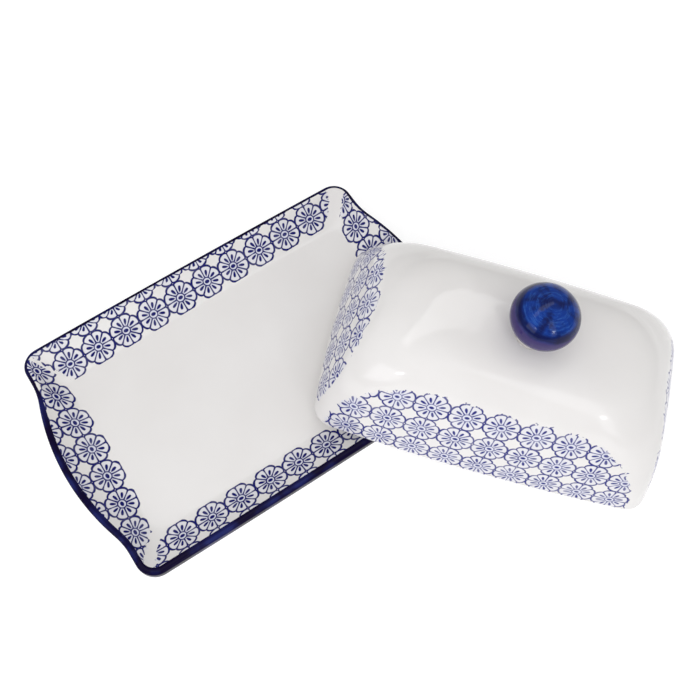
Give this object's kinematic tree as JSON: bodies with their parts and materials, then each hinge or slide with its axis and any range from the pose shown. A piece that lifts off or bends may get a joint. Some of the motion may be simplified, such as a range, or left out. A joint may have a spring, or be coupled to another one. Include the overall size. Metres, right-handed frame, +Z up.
{
  "type": "butter dish",
  "caption": "Rectangular stoneware butter dish: a shallow tray with a handle at each end, and a domed lid with a round knob, lifted off and leaning across the tray's corner.",
  "frame": {"origin": "centre of the tray's footprint, on the table", "axes": "+X along the tray towards the end that the lid leans over, -Y towards the front, +Z up"},
  "size_m": [0.281, 0.2197, 0.0971],
  "materials": {
    "tray_glaze": "gloss glaze, off-white with a navy flower pattern and a navy rim",
    "lid_glaze": "gloss glaze, off-white with a blue flower pattern on its four sides",
    "knob_glaze": "gloss cobalt glaze, brushed on"
  },
  "bodies": {
    "tray": {"tray": "tray_glaze"},
    "lid": {"lid_shell": "lid_glaze", "knob": "knob_glaze"}
  },
  "joints": [
    {"name": "lid_lift", "type": "slide", "parent": "tray", "child": "lid", "axis": [0, 0, 1], "range_m": [0, 0.1]}
  ]
}
